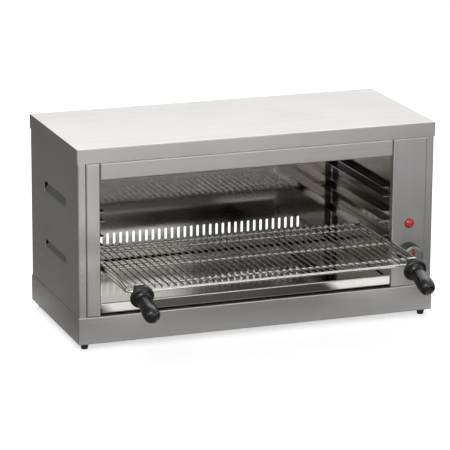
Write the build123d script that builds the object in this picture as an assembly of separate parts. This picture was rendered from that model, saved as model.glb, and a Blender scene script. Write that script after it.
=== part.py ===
from build123d import *
import math
import os

# Countertop cheese melter: a folded stainless box, open at the front, with
# heating tubes under the roof and a wire grid that slides in and out.
#
# Millimetres. X runs to the right, Y to the back, Z up. The origin is the
# centre of the floor rectangle that the whole object covers, handles and cable
# gland included, with the grid pulled out as it is at rest.

# ---------------------------------------------------------------- body sizes
BODY_WIDTH = 600.0
BODY_DEPTH = 263.0
BODY_HEIGHT = 313.0
FOOT_HEIGHT = 10.0
HANDLE_REACH = 196.0          # front of the body to the handle tips
GLAND_REACH = 12.0            # back of the body to the tip of the cable gland

SHEET = 1.2                   # outer panels
THIN_SHEET = 1.0              # panels round the hot cavity
INSET = 1.5                   # side and back walls, behind the cover's faces
BEND = 1.5                    # usual bend radius
PANEL_BEND = 2.0              # folds of the stile, the rail and the control panel
PANEL_SET = 0.9               # their faces, behind the front of the band
SKIRT_SET = 2.0               # front of the cover's skirt, behind the band

FRONT_Y = HANDLE_REACH - (HANDLE_REACH + BODY_DEPTH + GLAND_REACH) / 2
BACK_Y = FRONT_Y + BODY_DEPTH
HALF_WIDTH = BODY_WIDTH / 2
BASE_Z = FOOT_HEIGHT
TOP_Z = BASE_Z + BODY_HEIGHT
PANEL_Y = FRONT_Y + PANEL_SET
SKIRT_Y = FRONT_Y + SKIRT_SET
PAN_FLOOR_Z = BASE_Z + SHEET
COVER_UNDERSIDE_Z = TOP_Z - SHEET
WALL_X = HALF_WIDTH - INSET           # outer face of a side panel
BACK_WALL_Y = BACK_Y - INSET          # outer face of the back panel
BACK_INNER_Y = BACK_WALL_Y - SHEET

SKIRT_HEIGHT = 23.5
BAND_HEIGHT = 43.5
BAND_LIP = 14.0
SKIRT_Z = TOP_Z - SKIRT_HEIGHT
BAND_Z = BASE_Z + BAND_HEIGHT

# ------------------------------------------------------------- front opening
OPENING_LEFT = -263.0
OPENING_RIGHT = 227.0
OPENING_TOP = BASE_Z + 262.0
FLANGE_END_X = 286.2          # inner edge of a side panel's front flange
FRAME_END_X = 285.8           # outer edge of the stile and the control panel
FRAME_TOP_Z = SKIRT_Z - 0.3
FRAME_BACK_Y = FRONT_Y + 12.0
JOINT_GAP = 0.4
LOUVRE_DEPTH = 7.0
UPPER_LOUVRE = (67.5, 187.0, 203.0, 221.0)    # behind FRONT_Y, over BASE_Z
LOWER_LOUVRE = (69.0, 184.0, 111.0, 125.0)

# -------------------------------------------------------------------- cavity
CAVITY_LEFT = -264.0
CAVITY_RIGHT = 228.4
CAVITY_WALL_TOP = 300.0
CAVITY_FLOOR_Z = BASE_Z + 47.0
CAVITY_START_Y = FRAME_BACK_Y
ROOF_Z = BASE_Z + 299.0
ROOF_SLOPE = 14.0             # run of the sloped strip behind the rail
ROOF_REAR_RUN = 46.0
ROOF_REAR_DROP = 20.0
TRAY_LIP_HEIGHT = 16.5
TRAY_LIP_DEPTH = 5.0
TRAY_WALL = 8.0
TRAY_SIDE_GAP = 2.5

# ---------------------------------------------------------------- wire grid
GRID_LEFT = -257.0
GRID_RIGHT = 222.0
GRID_FRONT = FRONT_Y - 118.0
GRID_DEPTH = 250.0
GRID_REAR = GRID_FRONT + GRID_DEPTH
GRID_Z = BASE_Z + 116.0       # centre of the frame wire
GRID_UPPER_RISE = 5.5         # from the frame wire to the wire above it
UPPER_RAMP = 30.0             # length over which that wire comes down in front
UPPER_END = 8.0               # its ends, from the ends of the frame
FRAME_WIRE_R = 2.5
CROSS_WIRE_R = 2.0
BAR_WIRE_R = 1.4
BAR_COUNT = 42
CROSS_SPACING = 94.0
GRID_CORNER_R = 12.0
WELD = 0.4                    # how far two welded wires sink into each other

# ------------------------------------------------------------------- runners
RUNNER_LIP = 12.0
RUNNER_PITCH = 40.0
RUNNER_LEVELS = ("low", "middle", "high")
RUNNER_PLAY = 0.25            # air under the grid's side wires
RUNNER_OPENING = 14.0         # clear height of a channel
RUNNER_START_Y = FRONT_Y + 14.5
RUNNER_END_Y = BACK_INNER_Y - 1.0

# ------------------------------------------------------------------- handles
HANDLE_INBOARD = 15.2         # handle axis, inwards from the side wire
HANDLE_TILT = 17.9            # degrees below the horizontal
HANDLE_FACE_Y = FRONT_Y - 144.2
HANDLE_FACE_Z = BASE_Z + 111.5
HANDLE_FLANGE_R = 19.0
HANDLE_FLANGE_T = 9.0
HANDLE_NECK_R = 10.2
HANDLE_BARREL_R = 13.2
HANDLE_LENGTH = 52.72
PLATE_WIDTH = 18.0
PLATE_HEIGHT = 24.0
PLATE_T = 3.0
STUD_R = 3.0
STUD_END = 38.0               # stud tip, out from the flange's face
SPACER_AF = 10.0

# ------------------------------------------------------------------ controls
CONTROL_X = 257.0
KNOB_Z = BASE_Z + 97.8
KNOB_R = 19.0
KNOB_HEIGHT = 19.0
KNOB_GAP = 1.5
LAMP_Z = BASE_Z + 148.7
LAMP_R = 8.2
LAMP_BARREL_R = 6.0
LAMP_SEAT = 1.0               # lens seat, out from the panel
LENS_R = 6.4
LENS_RISE = 2.8
SHAFT_R = 3.0
SWITCH_SIZE = 36.0
SWITCH_DEPTH = 30.0
SWITCH_SCREW_X = 14.0
DISC_R = KNOB_R - 1.8
DISC_T = 2.2
DISC_BEVEL = 3.8              # width of the disc's sloped margin
DISC_EDGE = 1.6               # how far that margin falls
POINTER_HALF = 2.2
POINTER_START = -5.0
POINTER_END = 13.0
POINTER_DEPTH = 0.8

# ----------------------------------------------------------------- back side
VENT_COUNT = 34
VENT_PITCH = 11.24
VENT_WIDTH = 4.4
VENT_HEIGHT = 19.2
VENT_Z = BASE_Z + 92.6
GLAND_X = 262.0
GLAND_Z = BASE_Z + 75.0
GLAND_THREAD_R = 8.0
GLAND_BORE_R = 3.6
TERMINAL_WIDTH = 40.0
TERMINAL_DEPTH = 20.0
TERMINAL_HEIGHT = 17.0
TERMINAL_Y = BACK_Y - 62.0
TERMINAL_PITCH = 12.5
BACK_SCREW_X = 291.0
BACK_SCREW_Z = (80.0, 180.0, 280.0)

# ------------------------------------------------------------- heating tubes
TUBE_R = 4.25
TUBE_Z = BASE_Z + 276.0
TUBE_LEFT_X = -236.0
TUBE_RIGHT_X = 246.0
PIN_END_X = 260.0
PIN_R = 1.75
HANGER_X = -150.0
HANGER_FOOT = 10.0
TUBE_PLATE_EDGE = 11.0        # flange plate, beyond each tube
TUBE_LEGS = {"front": (40.0, 84.0), "rear": (150.0, 194.0)}   # behind FRONT_Y

# ---------------------------------------------------------------------- feet
FOOT_X = 286.5
FOOT_INSET_Y = 14.0
FOOT_TOP_R = 7.0
FOOT_BOTTOM_R = 5.0
FOOT_SCREW_R = 2.0


# ------------------------------------------------------------ shared helpers
def block(x0, x1, y0, y1, z0, z1):
    """Box between two corners."""
    centre = Pos((x0 + x1) / 2, (y0 + y1) / 2, (z0 + z1) / 2)
    return centre * Box(x1 - x0, y1 - y0, z1 - z0)


def bent_strip(points, thickness, side, radius=BEND):
    """Flat outline of a sheet seen edge on, bent along the points."""
    path = FilletPolyline(*points, radius=radius)
    return make_face(offset(path, thickness, side=side, closed=True).edges())


def sheet_along_x(points, x0, x1, thickness, side, radius=BEND):
    """Bent sheet whose (y, z) outline runs from x0 to x1."""
    outline = Plane.YZ.offset(x0) * bent_strip(points, thickness, side, radius)
    return extrude(outline, x1 - x0)


def sheet_along_y(points, y0, y1, thickness, side, radius=BEND):
    """Bent sheet whose (x, z) outline runs from y0 to y1."""
    outline = Plane.XZ.offset(-y1) * bent_strip(points, thickness, side, radius)
    return extrude(outline, y1 - y0)


def sheet_along_z(points, z0, z1, thickness, side, radius=BEND):
    """Bent sheet whose (x, y) outline runs from z0 to z1."""
    outline = Plane.XY.offset(z0) * bent_strip(points, thickness, side, radius)
    return extrude(outline, z1 - z0)


def facing_front(x, y, z):
    """Plane on the axis of a control, with its normal towards the user."""
    return Plane(origin=(x, y, z), x_dir=(1, 0, 0), z_dir=(0, -1, 0))


def rod(plane, radius, start, end):
    """Round rod along a plane's normal, between two heights over it."""
    middle = Pos(0, 0, (start + end) / 2)
    return plane.location * (middle * Cylinder(radius, end - start))


def hexagon(plane, across_flats, start, end):
    """Hexagonal bar along a plane's normal."""
    corner = across_flats / math.sqrt(3)
    bar = Pos(0, 0, start) * extrude(RegularPolygon(corner, 6), end - start)
    return plane.location * bar


def wire_between(start, end, radius):
    """Straight wire from point to point."""
    direction = Vector(*end) - Vector(*start)
    plane = Plane(origin=start, z_dir=direction)
    return rod(plane, radius, 0, direction.length)


def folded_tray(x0, x1, z0, z1):
    """Front panel folded back on all four sides, open behind."""
    outer = block(x0, x1, PANEL_Y, FRAME_BACK_Y, z0, z1)
    outer = fillet(outer.faces().sort_by(Axis.Y)[0].edges(), PANEL_BEND)
    inner = block(
        x0 + SHEET,
        x1 - SHEET,
        PANEL_Y + SHEET,
        FRAME_BACK_Y + SHEET,
        z0 + SHEET,
        z1 - SHEET,
    )
    return outer - inner


# --------------------------------------------------------------- outer shell
def base_pan():
    """Bottom tray with a band all round and a ledge behind the front band."""
    outer = block(-HALF_WIDTH, HALF_WIDTH, FRONT_Y, BACK_Y, BASE_Z, BAND_Z)
    rounded = outer.edges().filter_by(Axis.Z)
    rounded += outer.faces().sort_by(Axis.Z)[0].edges()
    rounded += outer.faces().sort_by(Axis.Y)[0].edges().sort_by(Axis.Z)[-1:]
    outer = fillet(rounded, BEND)
    inner = block(
        -HALF_WIDTH + SHEET,
        HALF_WIDTH - SHEET,
        FRONT_Y + SHEET,
        BACK_Y - SHEET,
        PAN_FLOOR_Z,
        BAND_Z + SHEET,
    )
    ledge_x = WALL_X - SHEET - 0.1
    ledge = block(-ledge_x, ledge_x, FRONT_Y + SHEET - 0.2, FRONT_Y + BAND_LIP, BAND_Z - SHEET, BAND_Z)
    holes = [rod(Plane.XY, FOOT_SCREW_R + 0.1, 0, BAND_Z - 5).moved(Pos(x, y, 0)) for x, y in foot_points()]
    return outer - inner + ledge - holes


def top_cover():
    """Lid with a skirt all round, its front a little behind the band."""
    outer = block(-HALF_WIDTH, HALF_WIDTH, SKIRT_Y, BACK_Y, SKIRT_Z, TOP_Z)
    rounded = outer.edges().filter_by(Axis.Z)
    rounded += outer.faces().sort_by(Axis.Z)[-1].edges()
    outer = fillet(rounded, BEND)
    inner = block(
        -HALF_WIDTH + SHEET,
        HALF_WIDTH - SHEET,
        SKIRT_Y + SHEET,
        BACK_Y - SHEET,
        SKIRT_Z - SHEET,
        COVER_UNDERSIDE_Z,
    )
    return outer - inner


def wedge(y0, y1, points):
    """Prism along Y over an (x, z) outline."""
    outline = Plane.XZ.offset(-y1) * make_face(Polyline(*points, close=True))
    return extrude(outline, y1 - y0)


def louvre(y0, y1, z0, z1):
    """Flap bent in from its lower edge, open at its top and its two ends."""
    x = -WALL_X
    length = math.hypot(LOUVRE_DEPTH, z1 - z0)
    across = SHEET * (z1 - z0) / length
    down = SHEET * LOUVRE_DEPTH / length
    flap = wedge(
        y0,
        y1,
        [
            (x, z0 - SHEET),
            (x, z0),
            (x + LOUVRE_DEPTH, z1),
            (x + LOUVRE_DEPTH + across, z1 - down),
            (x + across, z0 - down),
        ],
    )
    window = block(x - 1, x + SHEET + 1, y0, y1, z0, z1)
    return flap, window


def left_side_panel():
    """Side wall with a flange at the front and back and two louvres."""
    outline = [
        (-FLANGE_END_X, SKIRT_Y + INSET),
        (-WALL_X, SKIRT_Y + INSET),
        (-WALL_X, BACK_INNER_Y),
        (-BACK_SCREW_X + 8, BACK_INNER_Y),
    ]
    panel = sheet_along_z(outline, PAN_FLOOR_Z, COVER_UNDERSIDE_Z, SHEET, Side.RIGHT, 2.0)
    below_band = block(-WALL_X + SHEET + 0.01, -FLANGE_END_X + 1, FRONT_Y, FRONT_Y + BAND_LIP, 0, BAND_Z)
    panel -= below_band
    for y0, y1, z0, z1 in (UPPER_LOUVRE, LOWER_LOUVRE):
        flap, window = louvre(FRONT_Y + y0, FRONT_Y + y1, BASE_Z + z0, BASE_Z + z1)
        panel = panel - window + flap
    holes = [screw_hole(-BACK_SCREW_X, z) for z in BACK_SCREW_Z]
    return panel - holes


def right_side_panel():
    """Mirror image of the left wall."""
    return mirror(left_side_panel(), Plane.YZ)


def screw_hole(x, z):
    """Clearance hole for one screw of the back panel."""
    return rod(facing_front(x, BACK_Y, z), 1.9, 0, 8)


def back_panel():
    """Rear wall, which also closes the cavity, with its row of vents."""
    panel = block(-WALL_X + 0.2, WALL_X - 0.2, BACK_INNER_Y, BACK_WALL_Y, PAN_FLOOR_Z, COVER_UNDERSIDE_Z)
    centre_x = (CAVITY_LEFT + CAVITY_RIGHT) / 2
    slot = Plane.XZ * SlotOverall(VENT_HEIGHT, VENT_WIDTH, rotation=90)
    slots = []
    for index in range(VENT_COUNT):
        x = centre_x + (index - (VENT_COUNT - 1) / 2) * VENT_PITCH
        slots.append(extrude(Pos(x, BACK_Y, VENT_Z) * slot, 8))
    holes = [screw_hole(x, z) for x in (-BACK_SCREW_X, BACK_SCREW_X) for z in BACK_SCREW_Z]
    gland_hole = rod(facing_front(GLAND_X, BACK_Y, GLAND_Z), GLAND_THREAD_R + 0.05, 0, 8)
    return panel - slots - holes - gland_hole


def back_panel_screws():
    """Six pan-head screws through the back panel into the side flanges."""
    screws = []
    for x in (-BACK_SCREW_X, BACK_SCREW_X):
        for z in BACK_SCREW_Z:
            axis = facing_front(x, BACK_WALL_Y, z)
            head = fillet(rod(axis, 3.6, -2.2, 0).edges().sort_by(Axis.Y)[-1], 1.2)
            screws.append(head + rod(axis, 1.75, 0, 7))
    return Compound(screws)


# --------------------------------------------------------------- front frame
def left_stile():
    """Upright to the left of the opening."""
    return folded_tray(-FRAME_END_X, OPENING_LEFT, BAND_Z, FRAME_TOP_Z)


def top_rail():
    """Rail over the opening."""
    return folded_tray(OPENING_LEFT + JOINT_GAP, OPENING_RIGHT - JOINT_GAP, OPENING_TOP, FRAME_TOP_Z)


def control_panel():
    """Upright to the right of the opening, drilled for knob and lamp."""
    panel = folded_tray(OPENING_RIGHT, FRAME_END_X, BAND_Z, FRAME_TOP_Z)
    holes = [
        rod(facing_front(CONTROL_X, PANEL_Y, KNOB_Z), 5.0, -5, 5),
        rod(facing_front(CONTROL_X, PANEL_Y, LAMP_Z), 6.05, -5, 5),
    ]
    for x in switch_screw_points():
        holes.append(rod(facing_front(x, PANEL_Y, KNOB_Z), 1.85, -5, 5))
    return panel - holes


# -------------------------------------------------------------------- cavity
def cavity_left_wall():
    """Left wall of the cavity, with a flange behind the stile."""
    outline = [
        (-FRAME_END_X + 0.2, CAVITY_START_Y),
        (CAVITY_LEFT, CAVITY_START_Y),
        (CAVITY_LEFT, BACK_INNER_Y),
    ]
    wall = sheet_along_z(outline, PAN_FLOOR_Z, CAVITY_WALL_TOP, THIN_SHEET, Side.LEFT)
    return wall - block(-HALF_WIDTH, CAVITY_LEFT + 1, FRONT_Y, FRONT_Y + BAND_LIP + 0.3, 0, BAND_Z)


def cavity_right_wall():
    """Wall between the cavity and the control compartment."""
    outline = [
        (CAVITY_RIGHT + 8, CAVITY_START_Y),
        (CAVITY_RIGHT, CAVITY_START_Y),
        (CAVITY_RIGHT, BACK_INNER_Y),
    ]
    wall = sheet_along_z(outline, PAN_FLOOR_Z, CAVITY_WALL_TOP, THIN_SHEET, Side.RIGHT)
    wall -= block(CAVITY_RIGHT - 1, HALF_WIDTH, FRONT_Y, FRONT_Y + BAND_LIP + 0.3, 0, BAND_Z)
    return wall - [tube_hole(CAVITY_RIGHT, y) for y in all_tube_legs()]


def cavity_floor():
    """Bench that carries the crumb tray, standing on the base pan."""
    outline = [
        (CAVITY_LEFT, PAN_FLOOR_Z),
        (CAVITY_LEFT, CAVITY_FLOOR_Z),
        (CAVITY_RIGHT, CAVITY_FLOOR_Z),
        (CAVITY_RIGHT, PAN_FLOOR_Z),
    ]
    return sheet_along_y(outline, FRONT_Y + BAND_LIP + 0.5, BACK_INNER_Y - 0.5, THIN_SHEET, Side.RIGHT)


def ceiling_reflector():
    """Bright folded roof over the heating tubes."""
    outline = [
        (CAVITY_START_Y, OPENING_TOP + 1.5),
        (CAVITY_START_Y, FRAME_TOP_Z),
        (CAVITY_START_Y + ROOF_SLOPE, ROOF_Z),
        (BACK_INNER_Y - ROOF_REAR_RUN, ROOF_Z),
        (BACK_INNER_Y, ROOF_Z - ROOF_REAR_DROP),
        (BACK_INNER_Y, ROOF_Z - ROOF_REAR_DROP - ROOF_SLOPE),
    ]
    return sheet_along_x(outline, CAVITY_LEFT, CAVITY_RIGHT, THIN_SHEET, Side.RIGHT)


def runner_floor(level):
    """Height of the surface on which the grid's side wire slides."""
    lowest = GRID_Z - FRAME_WIRE_R - RUNNER_PLAY
    return lowest + level * RUNNER_PITCH


def runner(side, level):
    """Channel on a cavity wall that holds one side of the grid."""
    wall = CAVITY_LEFT if side == "left" else CAVITY_RIGHT
    inwards = 1 if side == "left" else -1
    bottom = runner_floor(level) - SHEET
    top = bottom + RUNNER_OPENING + 2 * SHEET
    lip_x = wall + inwards * RUNNER_LIP
    outline = [(lip_x, bottom), (wall, bottom), (wall, top), (lip_x, top)]
    metal = Side.RIGHT if side == "left" else Side.LEFT
    return sheet_along_y(outline, RUNNER_START_Y, RUNNER_END_Y, SHEET, metal)


# ------------------------------------------------------------- heating tubes
def all_tube_legs():
    """Y of every straight heating tube."""
    return [FRONT_Y + y for legs in TUBE_LEGS.values() for y in legs]


def tube_hole(x, y):
    """Clearance hole along X for a heating tube."""
    axis = Plane(origin=(x - 5, y, TUBE_Z), z_dir=(1, 0, 0))
    return rod(axis, TUBE_R + 0.1, 0, 10)


def heating_tube(legs):
    """Hairpin tube with a terminal pin at each end."""
    near, far = (FRONT_Y + y for y in legs)
    bend = (far - near) / 2
    corner_x = TUBE_LEFT_X
    path = Line((TUBE_RIGHT_X, near, TUBE_Z), (corner_x + bend, near, TUBE_Z))
    path += ThreePointArc(
        (corner_x + bend, near, TUBE_Z),
        (corner_x, near + bend, TUBE_Z),
        (corner_x + bend, far, TUBE_Z),
    )
    path += Line((corner_x + bend, far, TUBE_Z), (TUBE_RIGHT_X, far, TUBE_Z))
    section = Plane(origin=(TUBE_RIGHT_X, near, TUBE_Z), z_dir=(-1, 0, 0)) * Circle(TUBE_R)
    tube = sweep(section, path=path)
    for y in (near, far):
        tube += wire_between((TUBE_RIGHT_X - 1, y, TUBE_Z), (PIN_END_X, y, TUBE_Z), PIN_R)
    return tube


def tube_flange(legs):
    """Plate that holds both ends of a hairpin on the compartment side."""
    near, far = (FRONT_Y + y for y in legs)
    x0 = CAVITY_RIGHT + THIN_SHEET
    plate = block(x0, x0 + 2.0, near - TUBE_PLATE_EDGE, far + TUBE_PLATE_EDGE, TUBE_Z - 9, TUBE_Z + 9)
    plate = fillet(plate.edges().filter_by(Axis.X), 3)
    for y in (near, far):
        plate += wire_between((x0, y, TUBE_Z), (x0 + 9, y, TUBE_Z), TUBE_R + 2)
    return plate - [tube_hole(x0 + 5, y) for y in (near, far)]


def tube_hanger(legs):
    """Strip under the roof that carries the bend end of a hairpin."""
    near, far = (FRONT_Y + y for y in legs)
    roof = ROOF_Z - THIN_SHEET
    plate = block(HANGER_X, HANGER_X + THIN_SHEET, near - 8, far + 8, TUBE_Z - 8, roof)
    plate = fillet(plate.edges().filter_by(Axis.X).sort_by(Axis.Z)[:2], 4)
    foot = block(HANGER_X, HANGER_X + HANGER_FOOT, near + 10, far - 10, roof - THIN_SHEET, roof)
    return plate + foot - [tube_hole(HANGER_X, y) for y in (near, far)]


# --------------------------------------------------------------- crumb tray
def crumb_tray():
    """Shallow tray that slides out over the base band."""
    x0 = CAVITY_LEFT + TRAY_SIDE_GAP
    x1 = CAVITY_RIGHT - TRAY_SIDE_GAP
    bottom = CAVITY_FLOOR_Z + 0.3
    lip_top = bottom + TRAY_LIP_HEIGHT
    y0 = FRONT_Y + 3
    y1 = BACK_INNER_Y - 8
    outline = [
        (y1, bottom + TRAY_WALL),
        (y1, bottom),
        (y0, bottom),
        (y0, lip_top),
        (y0 + TRAY_LIP_DEPTH, lip_top),
    ]
    tray = sheet_along_x(outline, x0, x1, THIN_SHEET, Side.RIGHT, 2.0)
    for x in (x0, x1 - THIN_SHEET):
        tray += block(x, x + THIN_SHEET, y0 + 2, y1 - 2, bottom + 0.5, bottom + TRAY_WALL)
    return tray


# ----------------------------------------------------------------- wire grid
def swept_wire(path, start, direction, radius):
    """Round wire along a path."""
    section = Plane(origin=start, z_dir=direction) * Circle(radius)
    return sweep(section, path=path)


def grid_frame():
    """Closed frame wire with round corners."""
    corners = [
        (GRID_LEFT, GRID_FRONT, GRID_Z),
        (GRID_RIGHT, GRID_FRONT, GRID_Z),
        (GRID_RIGHT, GRID_REAR, GRID_Z),
        (GRID_LEFT, GRID_REAR, GRID_Z),
    ]
    path = FilletPolyline(*corners, radius=GRID_CORNER_R, close=True)
    start = path @ 0
    return swept_wire(path, start, path % 0, FRAME_WIRE_R)


def grid_upper_wire(x):
    """Second side wire over the frame, ramped down in front, bent behind."""
    front = GRID_FRONT + UPPER_END
    rear = GRID_REAR - UPPER_END
    top = GRID_Z + GRID_UPPER_RISE
    path = FilletPolyline(
        (x, front, GRID_Z + FRAME_WIRE_R),
        (x, front + UPPER_RAMP, top),
        (x, rear, top),
        (x, rear, GRID_Z),
        radius=4,
    )
    return swept_wire(path, path @ 0, path % 0, FRAME_WIRE_R)


def wire_grid():
    """Welded grid: frame, two stacked side wires, cross wires and bars."""
    wires = [grid_upper_wire(GRID_LEFT), grid_upper_wire(GRID_RIGHT)]
    middle = (GRID_FRONT + GRID_REAR) / 2
    cross_z = GRID_Z + FRAME_WIRE_R - CROSS_WIRE_R
    for step in (-1, 0, 1):
        y = middle + step * CROSS_SPACING
        wires.append(wire_between((GRID_LEFT, y, cross_z), (GRID_RIGHT, y, cross_z), CROSS_WIRE_R))
    bar_z = GRID_Z + FRAME_WIRE_R + BAR_WIRE_R - WELD
    pitch = (GRID_RIGHT - GRID_LEFT) / (BAR_COUNT + 1)
    for index in range(BAR_COUNT):
        x = GRID_LEFT + (index + 1) * pitch
        wires.append(wire_between((x, GRID_FRONT - 1, bar_z), (x, GRID_REAR + 1, bar_z), BAR_WIRE_R))
    return grid_frame().fuse(*wires)


# ------------------------------------------------------------------- handles
def handle_plane(side):
    """Plane in the front face of a handle's flange, its normal outwards."""
    inwards = HANDLE_INBOARD if side == "left" else -HANDLE_INBOARD
    x = (GRID_LEFT if side == "left" else GRID_RIGHT) + inwards
    tilt = math.radians(HANDLE_TILT)
    axis = (0, -math.cos(tilt), -math.sin(tilt))
    return Plane(origin=(x, HANDLE_FACE_Y, HANDLE_FACE_Z), x_dir=(1, 0, 0), z_dir=axis)


def bracket_back(side):
    """Height over the handle plane at which the bracket meets the wire."""
    plane = handle_plane(side)
    wire = Vector(plane.origin.X, GRID_FRONT, GRID_Z)
    return (wire - plane.origin).dot(plane.z_dir) + FRAME_WIRE_R


def handle(side):
    """Turned grip with a round flange and a blind bore for the stud."""
    rim = HANDLE_FLANGE_R
    neck = HANDLE_NECK_R
    belly = HANDLE_BARREL_R
    tip = HANDLE_LENGTH
    outline = Polyline((0, tip), (0, -HANDLE_FLANGE_T), (rim - 1.6, -HANDLE_FLANGE_T))
    outline += ThreePointArc((rim - 1.6, -HANDLE_FLANGE_T), (rim, -5.4), (rim - 2.4, -1.8))
    outline += ThreePointArc((rim - 2.4, -1.8), (rim - 6.0, -0.3), (neck, 2.6))
    outline += Spline(
        (neck, 2.6),
        (neck + 1.2, 0.22 * tip),
        (belly - 0.6, 0.48 * tip),
        (belly, 0.72 * tip),
        (belly - 0.7, tip - 7.5),
    )
    outline += ThreePointArc((belly - 0.7, tip - 7.5), (belly - 3.2, tip - 2.6), (5.0, tip))
    outline += Line((5.0, tip), (0, tip))
    grip = revolve(Plane.XZ * make_face(outline), Axis.Z)
    bore_start = -HANDLE_FLANGE_T - 1
    bore = rod(Plane.XY, STUD_R + 0.05, bore_start, STUD_END + 1)
    return handle_plane(side).location * (grip - bore)


def handle_bracket(side):
    """Plate welded to the front wire, with the stud that carries the grip."""
    back = bracket_back(side)
    face = back + PLATE_T
    plate = Pos(0, 0, back + PLATE_T / 2) * Box(PLATE_WIDTH, PLATE_HEIGHT, PLATE_T)
    plate = fillet(plate.edges().filter_by(Axis.Z), 4)
    stud = rod(Plane.XY, STUD_R, face, STUD_END)
    return handle_plane(side).location * (plate + stud)


def handle_nut(side):
    """Long hexagon nut between the bracket and the grip."""
    start = bracket_back(side) + PLATE_T
    nut = hexagon(handle_plane(side), SPACER_AF, start, -HANDLE_FLANGE_T)
    return nut - rod(handle_plane(side), STUD_R + 0.05, start - 1, 1)


# ------------------------------------------------------------------ controls
def switch_screw_points():
    """X of the two screws that hold the heat switch."""
    return (CONTROL_X - SWITCH_SCREW_X, CONTROL_X + SWITCH_SCREW_X)


def heat_switch():
    """Rotary energy regulator behind the control panel."""
    axis = facing_front(CONTROL_X, PANEL_Y + SHEET, KNOB_Z)
    half = SWITCH_SIZE / 2
    back = -SWITCH_DEPTH
    housing = axis.location * block(-half, half, -half, half, back, 0)
    housing = fillet(housing.edges().filter_by(Axis.Y), 3)
    for x in (-12, -4, 4, 12):
        housing += axis.location * block(x - 0.4, x + 0.4, -10, -4, back - 8, back)
    housing -= rod(axis, SHAFT_R + 0.05, -12, 1)
    for x in switch_screw_points():
        housing -= rod(facing_front(x, PANEL_Y + SHEET, KNOB_Z), 1.65, -8, 1)
    return housing


def heat_switch_screws():
    """Two flat-head screws hidden by the knob."""
    screws = []
    for x in switch_screw_points():
        axis = facing_front(x, PANEL_Y, KNOB_Z)
        screws.append(rod(axis, 3.0, 0, 1.0) + rod(axis, 1.6, -SHEET - 6, 0))
    return Compound(screws)


def switch_shaft():
    """Shaft from the regulator to the knob."""
    axis = facing_front(CONTROL_X, PANEL_Y, KNOB_Z)
    return rod(axis, SHAFT_R, -SHEET - 11, KNOB_GAP + 12)


def control_knob():
    """Round knob with a bevelled edge and a recess for its face disc."""
    axis = facing_front(CONTROL_X, PANEL_Y, KNOB_Z)
    tip = KNOB_GAP + KNOB_HEIGHT
    recess = DISC_R + 0.05
    outline = Polyline(
        (0, KNOB_GAP),
        (KNOB_R, KNOB_GAP),
        (KNOB_R, KNOB_GAP + 2),
        (KNOB_R - 0.7, tip - DISC_EDGE - 1.2),
        (KNOB_R - 1.3, tip - DISC_EDGE - 0.1),
        (recess, tip - DISC_EDGE - 0.1),
        (recess, tip - DISC_T),
        (0, tip - DISC_T),
        close=True,
    )
    body = revolve(Plane.XZ * make_face(outline), Axis.Z)
    body -= Pos(0, 0, KNOB_GAP + 6) * Cylinder(SHAFT_R + 0.03, 12.4)
    return axis.location * body


def knob_face_disc():
    """Metal cap let into the knob, with a sloped margin and the pointer's slot."""
    axis = facing_front(CONTROL_X, PANEL_Y, KNOB_Z)
    tip = KNOB_GAP + KNOB_HEIGHT
    outline = Polyline(
        (0, tip - DISC_T),
        (DISC_R, tip - DISC_T),
        (DISC_R, tip - DISC_EDGE),
        (DISC_R - DISC_BEVEL, tip),
        (0, tip),
        close=True,
    )
    disc = revolve(Plane.XZ * make_face(outline), Axis.Z)
    return axis.location * (disc - pointer_bar(0.05))


def pointer_bar(room):
    """Pointer bar in the knob's own plane, grown by the given room."""
    tip = KNOB_GAP + KNOB_HEIGHT
    half = POINTER_HALF + room
    bottom = tip - POINTER_DEPTH
    return block(-half, half, POINTER_START - room, POINTER_END + room, bottom, tip + 0.3)


def knob_pointer():
    """Red mark that shows the setting."""
    return facing_front(CONTROL_X, PANEL_Y, KNOB_Z).location * pointer_bar(0)


def lamp_housing():
    """Bezel and barrel of the pilot lamp, with two terminal blades."""
    axis = facing_front(CONTROL_X, PANEL_Y, LAMP_Z)
    ring = fillet(rod(axis, LAMP_R, 0, 2.2).edges().sort_by(Axis.Y)[0], 0.8)
    body = ring + rod(axis, LAMP_BARREL_R, -28, 0)
    body -= rod(axis, LENS_R + 0.1, LAMP_SEAT, 3)
    for x in (-3.0, 3.0):
        body += axis.location * block(x - 0.4, x + 0.4, -2.4, 2.4, -36, -28)
    return body


def lamp_lens():
    """Domed red lens seated in the bezel."""
    edge = LAMP_SEAT + 1.0
    radius = (LENS_R**2 + LENS_RISE**2) / (2 * LENS_RISE)
    ball = Pos(0, 0, edge + LENS_RISE - radius) * Sphere(radius)
    barrel = Pos(0, 0, LAMP_SEAT + LENS_RISE) * Cylinder(LENS_R, 2 * LENS_RISE)
    return facing_front(CONTROL_X, PANEL_Y, LAMP_Z).location * (ball & barrel)


def lamp_nut():
    """Hexagonal nut that clamps the lamp to the panel."""
    axis = facing_front(CONTROL_X, PANEL_Y + SHEET, LAMP_Z)
    return hexagon(axis, 16, -3.5, 0) - rod(axis, LAMP_BARREL_R + 0.05, -5, 1)


# ---------------------------------------------------------- back connections
def terminal_block():
    """Three-pole mains terminal block on the floor of the compartment."""
    half = TERMINAL_WIDTH / 2
    top = PAN_FLOOR_Z + TERMINAL_HEIGHT
    body = block(CONTROL_X - half, CONTROL_X + half, TERMINAL_Y, TERMINAL_Y + TERMINAL_DEPTH, PAN_FLOOR_Z, top)
    body = fillet(body.edges().filter_by(Axis.Z), 2)
    for index in (-1, 0, 1):
        x = CONTROL_X + index * TERMINAL_PITCH
        for y in (TERMINAL_Y + TERMINAL_DEPTH / 4, TERMINAL_Y + TERMINAL_DEPTH * 3 / 4):
            body -= block(x - 2.6, x + 2.6, y - 2.6, y + 2.6, top - 8, top + 3)
    return body


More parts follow.
